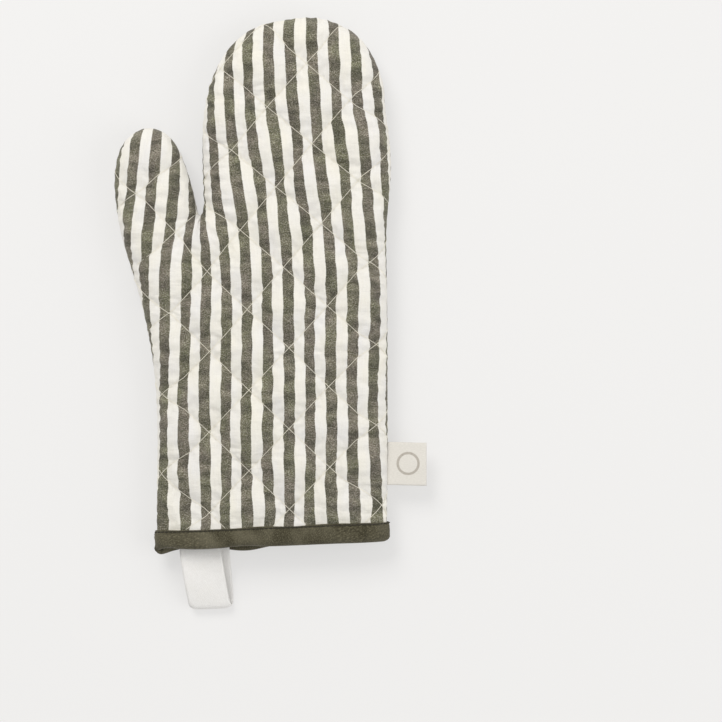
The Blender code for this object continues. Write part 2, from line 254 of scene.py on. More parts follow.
def clear_of_edges(places, over_hem, from_seam):
    """Whether each place is in the mitt, more than this far over the hem and this far in from the seam."""
    clear = inside_mitt(places) & (height_over_hem(places) > over_hem)
    clear[clear] = nearest_on_seam(places[clear])[2] > from_seam
    return clear


def beyond_thumb_fold(places):
    return (places - THUMB_FOLD) @ THUMB_OUT


def on_thumb(places):
    return (places[:, 0] < CROTCH[0]) & (beyond_thumb_fold(places) > SPLIT_BEYOND)


# ---- stripes and quilting lines


def hand_share(x, y):
    """1 where the cloth follows the hand, 0 where it follows the thumb."""
    half = np.maximum(0.5, 4.0 + 0.7 * (CROTCH[1] - y))
    return smoothstep(-half, half, x - CROTCH[0])


def stripe_lean(x, y):
    """How far the stripes have drifted to the right here."""
    hand = hand_share(x, y)
    lean = -14.0 * smoothstep(0, 178, y) * hand + 8.5 * smoothstep(25, 125, y) * (1 - hand)
    lean += smoothstep(15, -45, x) * (1.5 + 3.6 * smoothstep(-60, 30, y) * (1 - hand))
    lean += 0.9 * smoothstep(0, -125, y) * smoothstep(-20, -60, x) + 1.0 * smoothstep(120, 160, y)
    return lean - 1.4 * smoothstep(0, 40, x) * np.exp(-(((y + 45) / 60) ** 2))


def quilt_drift(x, y):
    """How the quilting lattice is shifted across and tilted here."""
    hand = hand_share(x, y)
    across = stripe_lean(x, y) - 2.7 * smoothstep(-21, 28, y) * hand
    slope = QUILT_TILT + 0.035 * smoothstep(0, 60, y) * hand
    return across, slope * x


def quilt_place(panel, x, y):
    """Lattice coordinates of a place. Stitch lines run where either is a whole number."""
    across, rise = quilt_drift(x, y)
    right = (x - across - panel.quilt_start[0]) / QUILT_WIDTH
    up = (y - rise - panel.quilt_start[1]) / QUILT_HEIGHT
    return right + up, right - up


def from_quilt(panel, first, second):
    """The places near the mitt with these lattice coordinates, and which of the inputs each one is.

    The drift has no inverse, so each place is closed in on, once from either side of the crotch.
    """
    right = panel.quilt_start[0] + QUILT_WIDTH * (first + second) / 2
    up = panel.quilt_start[1] + QUILT_HEIGHT * (first - second) / 2
    known = np.full((len(first), 2), 1e6)
    found = []
    index = []
    for start in (0.0, 12.0):
        x = right - start
        y = up + QUILT_TILT * x
        for _ in range(60):
            across, rise = quilt_drift(x, y)
            step_x = right + across - x
            step_y = up + rise - y
            x = x + 0.55 * step_x
            y = y + 0.55 * step_y
        places = np.stack([x, y], axis=1)
        good = (np.abs(step_x) < 0.05) & (np.abs(step_y) < 0.05)
        good &= (np.abs(x) < 100) & (np.abs(y) < 190)
        good &= np.linalg.norm(known - places, axis=1) > 3.0
        known[good] = places[good]
        found.append(places[good])
        index.append(np.flatnonzero(good))
    return np.vstack(found), np.concatenate(index)


def line_distances(panel, x, y):
    first, second = quilt_place(panel, x, y)
    to_first = np.abs(first - np.round(first)) * CELL
    to_second = np.abs(second - np.round(second)) * CELL
    return first * CELL, second * CELL, to_first, to_second


# ---- the cloth's surface


def pillow(to_first, to_second):
    """0 on a stitch line and 1 in the middle of a diamond."""
    lift = 1.0
    for distance in (to_first, to_second):
        lift = lift * (1.0 - (1.0 - np.clip(distance / (CELL / 2), 0.0, 1.0)) ** 3)
    return lift


def quilting(panel, x, y):
    """Height of the quilting under the tops of its diamonds, with the puckers beside its stitches."""
    first, second, to_first, to_second = line_distances(panel, x, y)
    height = -QUILT_DEPTH * (1.0 - pillow(to_first, to_second))
    waver = 1.6 * ripples(x, y, 24.0, panel.seed + 10)
    for along, distance, seed in ((second, to_first, 20), (first, to_second, 30)):
        strength = 0.16 + 0.11 * ripples(x, y, 30.0, panel.seed + seed)
        height += strength * np.sin(math.tau * along / 6.3 + waver) * np.exp(-distance / 4.0)
    return height


def wrinkles(panel, x, y):
    """Unevenness of the padding and the larger creases."""
    height = 0.55 * ripples(x, y, 62.0, panel.seed + 40) + 0.16 * ripples(x, y, 17.0, panel.seed + 50)
    return height + crossways_creases(panel, x, y)


def crotch_creases(x, y):
    """Creases that fan out from between the thumb and the hand, and a few across the hand beside it."""
    offset_x, offset_y = x - CROTCH[0], y - CROTCH[1] + 2.0
    reach = np.hypot(offset_x, offset_y)
    turn = np.arctan2(offset_y, offset_x)
    height = 1.0 * np.sin(9.0 * turn + 0.6) * np.exp(-reach / 17.0) * smoothstep(0.0, 4.0, reach)
    here = np.exp(-(((x + 34.0) / 9.0) ** 2) - ((y - 75.0) / 12.0) ** 2)
    return height + 0.75 * here * np.sin(math.tau * (y + 0.2 * x) / 7.0)


def crossways_creases(panel, x, y):
    """Shallow creases across the stripes, some strong and some hardly there."""
    waver = 1.5 * ripples(x, y, 40.0, panel.seed + 41)
    height = np.zeros_like(x)
    for spacing, seed in ((7.5, 42), (11.0, 43), (5.2, 44)):
        here = np.clip(ripples(0.55 * x, y, 21.0, panel.seed + seed) - 0.25, 0.0, 1.4)
        fold = np.sin(math.tau * (y + 0.06 * x) / spacing + waver + seed)
        height -= 0.085 * spacing**0.8 * here * np.clip(fold, 0.0, 1.0) ** 2
    return height


def rounding(panel, over_hem):
    """How far in the panel's edge is rounded, and its height, which are flatter towards the mouth."""
    reach = 18.0 + 14.0 * (1 - smoothstep(10, 80, over_hem))
    crown = panel.crown - 2.8 * (1 - smoothstep(15, 75, over_hem))
    return reach, crown - 1.0 * (1 - smoothstep(11.5, 17, over_hem))


def outer_surface(panel, places, plain=False):
    """Points of a panel's outer face over these places, and where the cloth's own pattern is there."""
    feet, inward, distance, along = nearest_on_seam(places)
    x, y = places[:, 0], places[:, 1]
    over_hem = height_over_hem(places)
    reach, crown = rounding(panel, over_hem)
    turn = 0.5 * math.pi * np.minimum(distance / reach, 1.0)
    height = crown * np.sin(turn)
    spread = np.where(distance < reach, reach * (1 - np.cos(turn)), distance)
    if not plain:
        spread = spread + GROOVE * (1 - smoothstep(0, GROOVE_HEIGHT, height))
        height = height + 0.7 * smoothstep(14, 36, distance) * smoothstep(12, 40, over_hem)
        fade = smoothstep(0.5, 9.0, distance) * smoothstep(11.0, 19.0, over_hem)
        height = height + (quilting(panel, x, y) + wrinkles(panel, x, y)) * fade
        height = height + crotch_creases(x, y) * smoothstep(0.3, 3.5, distance)
        seam_pucker = np.sin(math.tau * along / 7.4 + 1.3 * ripples(x, y, 30.0, panel.seed + 60))
        seam_pucker = seam_pucker * (0.6 + 0.4 * ripples(x, y, 40.0, panel.seed + 70))
        near_edge = smoothstep(0.2, 2.0, distance) * np.exp(-distance / 5.0)
        spread = spread + 0.35 * seam_pucker * near_edge * smoothstep(12, 20, over_hem)
    if panel is BACK:
        height = SEAM_Z - 0.1 - soft_floor(SEAM_Z - 0.1 - height)
    height = np.maximum(height, 0.02)
    plan = feet + inward * spread[:, None]
    points = np.column_stack([plan, SEAM_Z + panel.side * height])
    cloth = feet + inward * arc_length(distance, reach, crown)[:, None]
    return points, stripe_place(panel, places, cloth)


def soft_floor(clearance):
    """Keeps the cloth over the floor, pressed flat where it would go through."""
    return 0.5 * (clearance + np.sqrt(clearance**2 + 0.6))


def arc_length(distance, reach, crown):
    """How far in along the cloth this is, so that the pattern isn't squeezed at the rounded edge."""
    turn = 0.5 * math.pi * np.minimum(distance / reach, 1.0)

    def run(angle):
        return (reach + crown) / 2 * angle - (reach - crown) / 4 * np.sin(2 * angle)

    return np.where(distance < reach, reach - run(0.5 * math.pi) + run(turn), distance)


def stripe_place(panel, places, cloth):
    """The pattern's own coordinates: across the stripes, and along them."""
    x, y = places[:, 0], places[:, 1]
    slope = (quilting(panel, x + 0.4, y) - quilting(panel, x - 0.4, y)) / 0.8
    across = cloth[:, 0] - stripe_lean(x, y) + 1.7 * slope * smoothstep(0, 8, height_over_hem(places))
    across = across + 0.5 * ripples(x, y, 48.0, panel.seed + 80)
    across = across + 0.26 * ripples(x, y, 11.0, panel.seed + 90)
    return np.column_stack([across + panel.stripe_shift, cloth[:, 1]])


def inner_surface(panel, places):
    """Points of a panel's lining under the same places."""
    feet, inward, distance, _ = nearest_on_seam(places)
    x, y = places[:, 0], places[:, 1]
    over_hem = height_over_hem(places)
    reach, crown = rounding(panel, over_hem)
    wall = PINCHED_WALL + (WADDING_WALL - PINCHED_WALL) * smoothstep(10, 30, over_hem)
    spread = np.where(distance < reach, GROOVE + distance * (reach - GROOVE) / reach, distance)
    turn = 0.5 * math.pi * np.clip((spread - wall) / reach, 0.0, 1.0)
    height = 0.02 + (crown - wall) * np.sin(turn)
    _, _, to_first, to_second = line_distances(panel, x, y)
    tuft = 1.1 * (0.5 - pillow(to_first, to_second)) + 0.3 * ripples(x, y, 40.0, panel.seed + 95)
    height = height + tuft * smoothstep(10, 24, distance) * smoothstep(12, 30, over_hem)
    plan = feet + inward * spread[:, None]
    return np.column_stack([plan, SEAM_Z + panel.side * height]), places


# ---- meshes


def panel_border():
    """The panel's outline in plan: the seam over the raw edge, closed along that edge."""
    over = height_over_hem(SEAM)
    keep = np.flatnonzero(over > RAW_EDGE)

    def crossing(low, high):
        t = (RAW_EDGE - over[low]) / (over[high] - over[low])
        return SEAM[low] + (SEAM[high] - SEAM[low]) * t

    start, end = crossing(keep[0] - 1, keep[0]), crossing(keep[-1] + 1, keep[-1])
    steps = int(np.linalg.norm(end - start) / HEM_STEP)
    hem = end + (start - end) * np.linspace(0, 1, steps + 1)[1:-1, None]
    return np.vstack([start, SEAM[keep], end, hem])


def seam_ring(distance):
    """Points this far in from the seam, left out where the outline is too tight for them."""
    ring = SEAM + SEAM_INWARD * distance
    return ring[clear_of_edges(ring, RAW_EDGE + 0.8, 0.93 * distance)]


def lattice_points(panel):
    """Points in lines beside the stitch lines, so that the mesh follows the quilting."""
    steps = sorted({side * step / CELL for step in CELL_STEPS for side in (1, -1)} | {0.5})
    lines = np.array([whole + step for whole in range(-10, 11) for step in steps])
    one, two = np.meshgrid(lines, lines)
    places, _ = from_quilt(panel, one.ravel(), two.ravel())
    return places[clear_of_edges(places, RAW_EDGE + 0.9, LATTICE_FROM_SEAM)]


def split_line():
    """Where the thumb's mesh meets the hand's, run out past the outline at both ends."""
    along_fold = np.array([-THUMB_OUT[1], THUMB_OUT[0]])
    start = CROTCH + (FOLD_FROM_CROTCH + SPLIT_BEYOND) * THUMB_OUT
    line = start + along_fold * np.arange(0.0, 62.0, SPLIT_STEP)[:, None]
    line = line[clear_of_edges(line, 0.0, 0.3)]
    return np.vstack([line[0] - along_fold * 1.2, line, line[-1] + along_fold * 2.4])


def panel_plan(panel):
    """The panel's places in plan and the triangles between them: rings along the seam, then the lattice."""
    border, split = panel_border(), split_line()
    fill = np.vstack([*[seam_ring(distance) for distance in SEAM_RINGS], lattice_points(panel)])
    near_split = (np.abs(beyond_thumb_fold(fill) - SPLIT_BEYOND) < 0.7) & (fill[:, 0] < CROTCH[0] + 1)
    points = np.vstack([border, split, fill[~near_split]])
    edges = [(i, (i + 1) % len(border)) for i in range(len(border))]
    edges += [(len(border) + i, len(border) + i + 1) for i in range(len(split) - 1)]
    flat, _, faces, _, _, _ = delaunay_2d_cdt(points.tolist(), edges, [], 1, 1e-5)
    places = np.array([tuple(p) for p in flat])
    used, triangles = np.unique(np.array([tuple(f) for f in faces]), return_inverse=True)
    places, triangles = places[used], triangles.reshape(-1, 3)
    a, b, c = (places[triangles[:, i]] for i in range(3))
    area = (b - a)[:, 0] * (c - a)[:, 1] - (b - a)[:, 1] * (c - a)[:, 0]
    triangles[area < 0] = triangles[area < 0][:, ::-1]
    return places, triangles


def point_normals(points, triangles):
    a, b, c = (points[triangles[:, i]] for i in range(3))
    faces = np.cross(b - a, c - a)
    normals = np.zeros_like(points)
    for i in range(3):
        np.add.at(normals, triangles[:, i], faces)
    return unit(normals)


def add_mesh(name, points, faces, cloth, materials, face_materials=None, normals=None):
    """A smooth mesh object from points in millimetres, with its pattern's place as the UV of each point."""
    data = bpy.data.meshes.new(name)
    data.from_pydata((np.asarray(points) * MM).tolist(), [], [tuple(int(i) for i in f) for f in faces])
    for material in materials:
        data.materials.append(material)
    data.polygons.foreach_set("use_smooth", [True] * len(data.polygons))
    if face_materials is not None:
        data.polygons.foreach_set("material_index", np.asarray(face_materials, dtype=np.int32))
    corners = np.empty(len(data.loops), dtype=np.int32)
    data.loops.foreach_get("vertex_index", corners)
    layer = data.uv_layers.new(name="cloth")
    layer.data.foreach_set("uv", np.asarray(cloth, dtype=np.float32)[corners].ravel())
    data.update()
    if normals is not None:
        data.normals_split_custom_set(normals[corners].tolist())
    piece = bpy.data.objects.new(name, data)
    bpy.context.scene.collection.objects.link(piece)
    return piece


def rim_of(triangles):
    """The triangles' border edges, each in its triangle's own direction."""
    edges = np.concatenate([triangles[:, [0, 1]], triangles[:, [1, 2]], triangles[:, [2, 0]]])
    known = {(int(a), int(b)) for a, b in edges}
    return [(a, b) for a, b in known if (b, a) not in known]


def close_panel(name, panel, outer, inner, outer_cloth, inner_cloth, triangles, chosen, materials):
    """A closed pad from the chosen triangles of the panel's outer and inner faces."""
    if panel.side < 0:
        triangles = triangles[:, ::-1]
    outer_normals = point_normals(outer, triangles)
    inner_normals = point_normals(inner, triangles[:, ::-1])
    used, part = np.unique(triangles[chosen], return_inverse=True)
    part = part.reshape(-1, 3)
    count = len(used)
    rim = sorted(rim_of(part))
    faces = [*part.tolist(), *(part[:, ::-1] + count).tolist()]
    faces += [(b, a, a + count, b + count) for a, b in rim]
    face_materials = [0] * len(part) + [1] * len(part) + [0] * len(rim)
    return add_mesh(
        name,
        np.vstack([outer[used], inner[used]]),
        faces,
        np.vstack([outer_cloth[used], inner_cloth[used]]),
        materials,
        face_materials,
        np.vstack([outer_normals[used], inner_normals[used]]),
    )


def quads(low, high, count, closed=True):
    """The faces between two rows of points, whose first points have these indices."""
    pairs = [(j, (j + 1) % count) for j in range(count if closed else count - 1)]
    return [(low + j, low + k, high + k, high + j) for j, k in pairs]


def tubes(name, runs, radius, material, sides=5):
    """A mesh of thin threads. Each run is the points of a thread's middle and the way up at each."""
    points, faces, cloth = [], [], []
    for middle, up in runs:
        ahead = unit(np.gradient(middle, axis=0))
        side = unit(np.cross(ahead, up))
        top = np.cross(side, ahead)
        base = sum(len(p) for p in points)
        angles = math.tau * np.arange(sides) / sides
        ring = (
            middle[:, None, :]
            + radius * np.cos(angles)[None, :, None] * side[:, None, :]
            + radius * np.sin(angles)[None, :, None] * top[:, None, :]
        )
        points.append(ring.reshape(-1, 3))
        around = np.tile(np.arange(sides) / sides * math.tau * radius, len(middle))
        cloth.append(np.column_stack([np.repeat(run_lengths(middle), sides), around]))
        for low in range(base, base + (len(middle) - 1) * sides, sides):
            faces += quads(low, low + sides, sides)
        faces.append(tuple(base + j for j in reversed(range(sides))))
        faces.append(tuple(base + (len(middle) - 1) * sides + j for j in range(sides)))
    return add_mesh(name, np.vstack(points), faces, np.vstack(cloth), [material])


def slab(name, centres, ways_up, thickness, cloth, material):
    """A strip of cloth from a grid of points, thickened evenly both ways and closed."""
    rows, columns, _ = centres.shape
    top = centres + ways_up * thickness / 2
    bottom = centres - ways_up * thickness / 2
    count = rows * columns
    index = np.arange(count).reshape(rows, columns)
    faces = []
    for low in range(0, count - columns, columns):
        for quad in quads(low, low + columns, columns, closed=False):
            faces += [quad, tuple(k + count for k in reversed(quad))]
    rim = [*index[0, :-1], *index[:-1, -1], *index[-1, :0:-1], *index[:0:-1, 0]]
    for a, b in zip(rim, rim[1:] + rim[:1]):
        faces.append((b, a, a + count, b + count))
    points = np.vstack([top.reshape(-1, 3), bottom.reshape(-1, 3)])
    flat = cloth.reshape(-1, 2)
    return add_mesh(name, points, faces, np.vstack([flat, flat]), [material])


# ---- materials


class Shader:
    """A Principled material, with short calls for the nodes that feed it."""

    def __init__(self, name, roughness, sheen=0.0):
        self.material = bpy.data.materials.new(name)
        self.material.use_nodes = True
        self.nodes = self.material.node_tree.nodes
        self.links = self.material.node_tree.links
        self.surface = self.nodes["Principled BSDF"]
        self.feed(self.surface, {"Roughness": roughness, "Specular IOR Level": 0.25})
        self.feed(self.surface, {"Sheen Weight": sheen, "Sheen Roughness": 0.55})

    def feed(self, node, settings):
        """Sets a node's sockets, each from another socket or a value, or leaves it as it is on None."""
        for socket, value in settings.items():
            if isinstance(value, bpy.types.NodeSocket):
                self.links.new(value, node.inputs[socket])
            elif value is not None:
                node.inputs[socket].default_value = value
        return node

    def node(self, kind, settings, output=0, **choices):
        """One of the outputs of a new node of this kind."""
        node = self.nodes.new("ShaderNode" + kind)
        for name, choice in choices.items():
            setattr(node, name, choice)
        return self.feed(node, settings).outputs[output]

    def cloth(self, across=1.0, along=1.0, turn=0.0):
        """The pattern's place in millimetres, scaled each way after a turn."""
        place = self.node("UVMap", {}, uv_map="cloth")
        turned = self.node("Mapping", {"Vector": place, "Rotation": (0.0, 0.0, turn)})
        return self.node("VectorMath", {0: turned, 1: (across, along, 1.0)}, operation="MULTIPLY")

    def parts(self, vector):
        node = self.feed(self.nodes.new("ShaderNodeSeparateXYZ"), {0: vector})
        return node.outputs[0], node.outputs[1]

    def math(self, operation, first, second=None, third=None):
        return self.node("Math", {0: first, 1: second, 2: third}, operation=operation)

    def wave(self, place, length):
        """From 0 to 1 and back once in each such length."""
        return self.fit(self.math("SINE", self.math("MULTIPLY", place, math.tau / length)), -1.0, 1.0)

    def noise(self, vector, scale=1.0, detail=2.0, roughness=0.5):
        settings = {"Vector": vector, "Scale": scale, "Detail": detail, "Roughness": roughness}
        return self.node("TexNoise", settings)

    def fit(self, value, low, high, to_low=0.0, to_high=1.0):
        return self.node("MapRange", {0: value, 1: low, 2: high, 3: to_low, 4: to_high})

    def mix(self, share, first, second, blend="MIX"):
        sockets = {0: share, 6: first, 7: second}
        return self.node("Mix", sockets, output=2, data_type="RGBA", blend_type=blend)

    def darken(self, colour, share):
        return self.mix(1.0, colour, share, "MULTIPLY")

    def coats(self, colour, *coats):
        """Lays paint over a colour: each coat's mask, where in it the coat starts and is full, how much
        it covers there, and its paint."""
        for mask, start, full, cover, tone in coats:
            colour = self.mix(self.fit(mask, start, full, 0.0, cover), colour, paint(*tone))
        return colour

    def weave(self, pitch, turn=0.0):
        """Plain weave with threads this far apart: height from 0 to 1, and 1 where the warp is on top."""
        across, along = self.parts(self.cloth(math.pi / pitch, math.pi / pitch, turn))
        warp = self.math("SINE", across)
        weft = self.math("SINE", along)
        over = self.math("MULTIPLY", warp, weft)
        height = self.math("MAXIMUM", self.math("ABSOLUTE", warp), self.math("ABSOLUTE", weft))
        return height, self.fit(over, -0.35, 0.35)

    def bump(self, height, distance, strength=1.0, under=None):
        settings = {"Height": height, "Distance": distance, "Strength": strength, "Normal": under}
        return self.node("Bump", settings)

    def finish(self, colour, normal, roughness=None):
        self.feed(self.surface, {"Base Color": colour, "Normal": normal, "Roughness": roughness})
        return self.material


def paint(red, green, blue):
    """A colour as it shows on screen, 0 to 255, turned into the shader's own scale."""
    return (*[((value / 255 + 0.055) / 1.055) ** 2.4 for value in (red, green, blue)], 1.0)


def striped_cotton():
    """Olive-grey and warm cream woven stripes, flecked where single threads come up."""
    shader = Shader("striped_cotton_cloth", 0.9, sheen=0.12)
    height, warp_on_top = shader.weave(0.46)
    slubs = shader.noise(shader.cloth(2.2, 0.09), detail=3.0)
    wefts = shader.noise(shader.cloth(0.11, 1.9), detail=3.0, roughness=0.6)
    flecks = shader.noise(shader.cloth(0.62, 1.7), detail=3.0, roughness=0.65)
    grain = shader.noise(shader.cloth(1.5, 1.5), detail=1.0, roughness=0.7)
    drift = shader.noise(shader.cloth(0.05, 0.035), detail=3.0)
    mottle_and_relief_shade = shader.noise(shader.cloth(0.07, 0.13), detail=3.0, roughness=0.6)
    ragged = shader.noise(shader.cloth(0.3, 1.5), detail=2.0)
    # The creases' mask: bump relief, and painted shade in its hollows (see the dark coat below).
    creases = shader.fit(shader.noise(shader.cloth(0.05, 0.3), detail=3.0, roughness=0.55), 0.40, 0.56)
    dark = shader.coats(
        paint(113, 117, 79),
        (drift, 0.4, 0.58, 1.0, (133, 120, 112)),
        (flecks, 0.62, 0.36, 1.0, (66, 63, 46)),
        (flecks, 0.52, 0.74, 0.8, (182, 177, 160)),
        (wefts, 0.5, 0.72, 0.4, (84, 81, 62)),
        (slubs, 0.42, 0.66, 0.72, (72, 69, 52)),
        (warp_on_top, 0.0, 1.0, 0.3, (104, 101, 83)),
        # Painted shade: the creases' hollows darkened.
        (creases, 0.7, 0.0, 0.5, (66, 64, 42)),
        (grain, 0.45, 0.75, 0.55, (202, 197, 184)),
    )
    # Random patches darken and lighten the dark stripes: partly the cloth's own mottling, partly painted
    # shade and light for the quilting's relief.
    dark = shader.darken(dark, shader.fit(mottle_and_relief_shade, 0.37, 0.63, 0.58, 1.24))
    cream = shader.coats(
        paint(234, 230, 217),
        (drift, 0.3, 0.7, 1.0, (229, 227, 225)),
        (flecks, 0.4, 0.75, 0.5, (243, 240, 231)),
        (slubs, 0.45, 0.75, 0.4, (222, 217, 203)),
    )
    across, _ = shader.parts(shader.cloth())
    away = shader.math("PINGPONG", shader.math("SUBTRACT", across, STRIPE_CENTRE), STRIPE_PITCH / 2)
    away = shader.math("ADD", away, shader.fit(ragged, 0.3, 0.7, -0.11, 0.11))
    light = shader.fit(away, STRIPE_WIDTH / 2 - 0.14, STRIPE_WIDTH / 2 + 0.14)
    # Painted shade: darker where the weave is low, in the hollows between the threads.
    colour = shader.darken(shader.mix(light, dark, cream), shader.fit(height, 0.35, 0.9, 0.82, 1.0))
    normal = shader.bump(shader.noise(shader.cloth(0.16, 0.16), detail=4.0, roughness=0.6), 0.8 * MM, 0.6)
    for relief, depth, strength in ((creases, 0.3, 0.4), (slubs, 0.25, 0.5), (height, 0.10, 0.8)):
        normal = shader.bump(relief, depth * MM, strength, normal)
    return shader.finish(colour, normal, shader.fit(flecks, 0.3, 0.7, 0.84, 0.96))


def plain_cotton(name, tones, pitch, turn=0.0, wear=None):
    """Woven cotton of one colour: its dark, middle and light tones, and a paler tone where it is worn."""
    shader = Shader(name, 0.9, sheen=0.1)
    height, warp_on_top = shader.weave(pitch, turn)
    flecks = shader.noise(shader.cloth(0.9, 1.3, turn), detail=3.0, roughness=0.65)
    slubs = shader.noise(shader.cloth(1.8, 0.12, turn), detail=3.0)
    drift = shader.noise(shader.cloth(0.05, 0.05), detail=2.0)
    dark, middle, pale = tones
    colour = shader.coats(
        paint(*dark),
        (flecks, 0.38, 0.6, 1.0, middle),
        (flecks, 0.55, 0.8, 0.8, pale),
        (slubs, 0.5, 0.75, 0.4, dark),
        (drift, 0.4, 0.7, 0.3, pale),
    )
    if wear:
        _, from_fold = shader.parts(shader.cloth())
        rubbed = shader.fit(shader.math("ABSOLUTE", from_fold), 1.8, 0.2)
        rubbed = shader.math("MULTIPLY", rubbed, shader.fit(flecks, 0.45, 0.7, 0.1, 0.6))
        colour = shader.mix(rubbed, colour, paint(*wear))
    colour = shader.coats(colour, (warp_on_top, 0.0, 1.0, 0.15, dark))
    # Painted shade: darker where the weave is low, in the hollows between the threads.
    colour = shader.darken(colour, shader.fit(height, 0.35, 0.9, 0.8, 1.0))
    normal = shader.bump(shader.noise(shader.cloth(0.2, 0.2), detail=4.0, roughness=0.6), 0.6 * MM, 0.5)
    normal = shader.bump(height, 0.12 * MM, 0.8, normal)
    return shader.finish(colour, normal, shader.fit(flecks, 0.3, 0.7, 0.84, 0.95))


def twill_tape():
    """White cotton tape in a herringbone twill."""
    shader = Shader("white_twill_tape", 0.88, sheen=0.12)
    across, along = shader.parts(shader.cloth())
    ribs = shader.wave(shader.math("ADD", along, shader.math("PINGPONG", across, 3.2)), 0.95)
    flecks = shader.noise(shader.cloth(0.8, 0.5), detail=3.0, roughness=0.6)
    soiled = shader.noise(shader.cloth(0.06, 0.06), detail=3.0)
    colour = shader.coats(
        paint(226, 224, 220),
        # Painted light and shade: the rib crests lighter, the grooves between them left darker.
        (ribs, 0.0, 1.0, 1.0, (245, 243, 240)),
        (flecks, 0.4, 0.7, 0.4, (248, 247, 244)),
        (soiled, 0.45, 0.75, 0.35, (240, 237, 230)),
    )
    normal = shader.bump(ribs, 0.14 * MM, 0.8)
    normal = shader.bump(shader.wave(across, 0.42), 0.06 * MM, 0.6, normal)
    return shader.finish(colour, normal, shader.fit(flecks, 0.3, 0.7, 0.82, 0.94))


def label_satin():
    """Smooth white label tape with a plain printed ring."""
    shader = Shader("label_satin", 0.62, sheen=0.1)
    across, along = shader.parts(shader.cloth())
    squared = shader.math("MULTIPLY", across, across)
    out = shader.math("SQRT", shader.math("MULTIPLY_ADD", along, along, squared))
    from_ring = shader.math("ABSOLUTE", shader.math("SUBTRACT", out, LABEL_RING_RADIUS))
    inked = shader.fit(from_ring, LABEL_RING_WIDTH / 2 + 0.15, LABEL_RING_WIDTH / 2 - 0.15)
    flecks = shader.noise(shader.cloth(0.7, 2.5), detail=3.0)
    paper = shader.coats(paint(212, 208, 199), (flecks, 0.35, 0.7, 1.0, (223, 219, 211)))
    ink = shader.coats(paint(170, 163, 152), (flecks, 0.4, 0.7, 1.0, (190, 184, 174)))
    normal = shader.bump(shader.wave(along, 0.3), 0.05 * MM, 0.6)
    return shader.finish(shader.mix(inked, paper, ink), normal, shader.fit(flecks, 0.3, 0.7, 0.55, 0.72))


def sewing_thread(name, pale, deep):
    """Twisted two-ply thread."""
    shader = Shader(name, 0.7, sheen=0.1)
    along, around = shader.parts(shader.cloth())
    lengthways = shader.math("MULTIPLY", along, math.tau / 0.8)
    twist = shader.math("SINE", shader.math("MULTIPLY_ADD", around, math.tau / 0.5, lengthways))
    ply = shader.fit(twist, -1.0, 1.0)
    fuzz = shader.noise(shader.cloth(0.9, 0.9), detail=3.0)
    # Painted shade: the groove between the plies takes the deep tone, their crowns the pale.
    colour = shader.coats(paint(*deep), (ply, 0.0, 1.0, 1.0, pale), (fuzz, 0.4, 0.7, 0.35, deep))
    return shader.finish(colour, shader.bump(ply, 0.08 * MM, 0.8), shader.fit(fuzz, 0.3, 0.7, 0.6, 0.8))


# ---- the quilted panels


# The solver works on cloth this many times larger. It has this much to spare, and moves this far at most.
CLOTH_SCALE = 10.0
CLOTH_GROWTH = 0.036
CLOTH_PRESSURE = 1.5
CLOTH_FRAMES = 12
FURTHEST_MOVE = 3.2


def sewn_down(panel, places):
    """How firmly the outer cloth is held: wholly on stitch lines, at the seam and under the binding."""
    _, _, to_first, to_second = line_distances(panel, places[:, 0], places[:, 1])
    on_line = (np.minimum(to_first, to_second) < 0.3).astype(float)
    by_seam = 1.0 - smoothstep(2.0, 9.0, nearest_on_seam(places)[2])
    by_hem = 1.0 - smoothstep(13.0, 18.0, height_over_hem(places))
    return np.maximum(np.maximum(on_line, by_seam), by_hem)


def settle_cloth(panel, places, points, triangles):
    """Cloth simulation of the outer face: slightly too much cloth, puffed out between its stitches."""
    data = bpy.data.meshes.new("loose_cloth")
    order = triangles if panel.side > 0 else triangles[:, ::-1]
    data.from_pydata((points * MM * CLOTH_SCALE).tolist(), [], order.tolist())
    loose = bpy.data.objects.new("loose_cloth", data)
    scene = bpy.context.scene
    scene.collection.objects.link(loose)
    sewn = loose.vertex_groups.new(name="sewn")
    firmness = np.round(sewn_down(panel, places), 1)
    for firm in np.unique(firmness[firmness > 0]):
        sewn.add(np.flatnonzero(firmness == firm).tolist(), float(firm), "REPLACE")
    cloth = loose.modifiers.new("Cloth", "CLOTH")
    settings = cloth.settings
    settings.vertex_group_mass = "sewn"
    settings.quality = 5
    settings.mass = 0.15
    settings.bending_stiffness = 0.1
    settings.shrink_min = -CLOTH_GROWTH
    settings.use_pressure = True
    settings.uniform_pressure_force = CLOTH_PRESSURE
    settings.effector_weights.gravity = 0.0
    cloth.collision_settings.use_collision = False
    cloth.point_cache.frame_start = 1
    cloth.point_cache.frame_end = CLOTH_FRAMES
    for frame_number in range(1, CLOTH_FRAMES + 1):
        scene.frame_set(frame_number)
    settled = loose.evaluated_get(bpy.context.evaluated_depsgraph_get())
    moved = np.empty(len(points) * 3, dtype=np.float32)
    settled.data.vertices.foreach_get("co", moved)
    move = moved.reshape(-1, 3).astype(float) / (MM * CLOTH_SCALE) - points
    bpy.data.objects.remove(loose)
    scene.frame_set(1)
    far = np.linalg.norm(move, axis=1, keepdims=True)
    result = points + move * np.minimum(1.0, FURTHEST_MOVE / np.maximum(far, 1e-6))
    if panel is BACK:
        result[:, 2] = soft_floor(result[:, 2] - 0.3) + 0.02
    return result


def bend_with(piece, region):
    """Bakes a piece's place into its mesh; a line across the knuckles, or across the root of the thumb, is
    worked out but not used, so the piece doesn't bend.
    """
    middle, reach, body = np.array([0.0, FINGER_FOLD_Y]), np.array([0.0, FINGER_BEND]), "fingers"
    if region == "thumb":
        middle, reach, body = THUMB_FOLD, THUMB_BEND * THUMB_OUT, "thumb"
    start, end = ((*(place * MM), SEAM_Z * MM) for place in (middle - reach, middle + reach))
    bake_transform(piece)
    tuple(start)
    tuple(end)


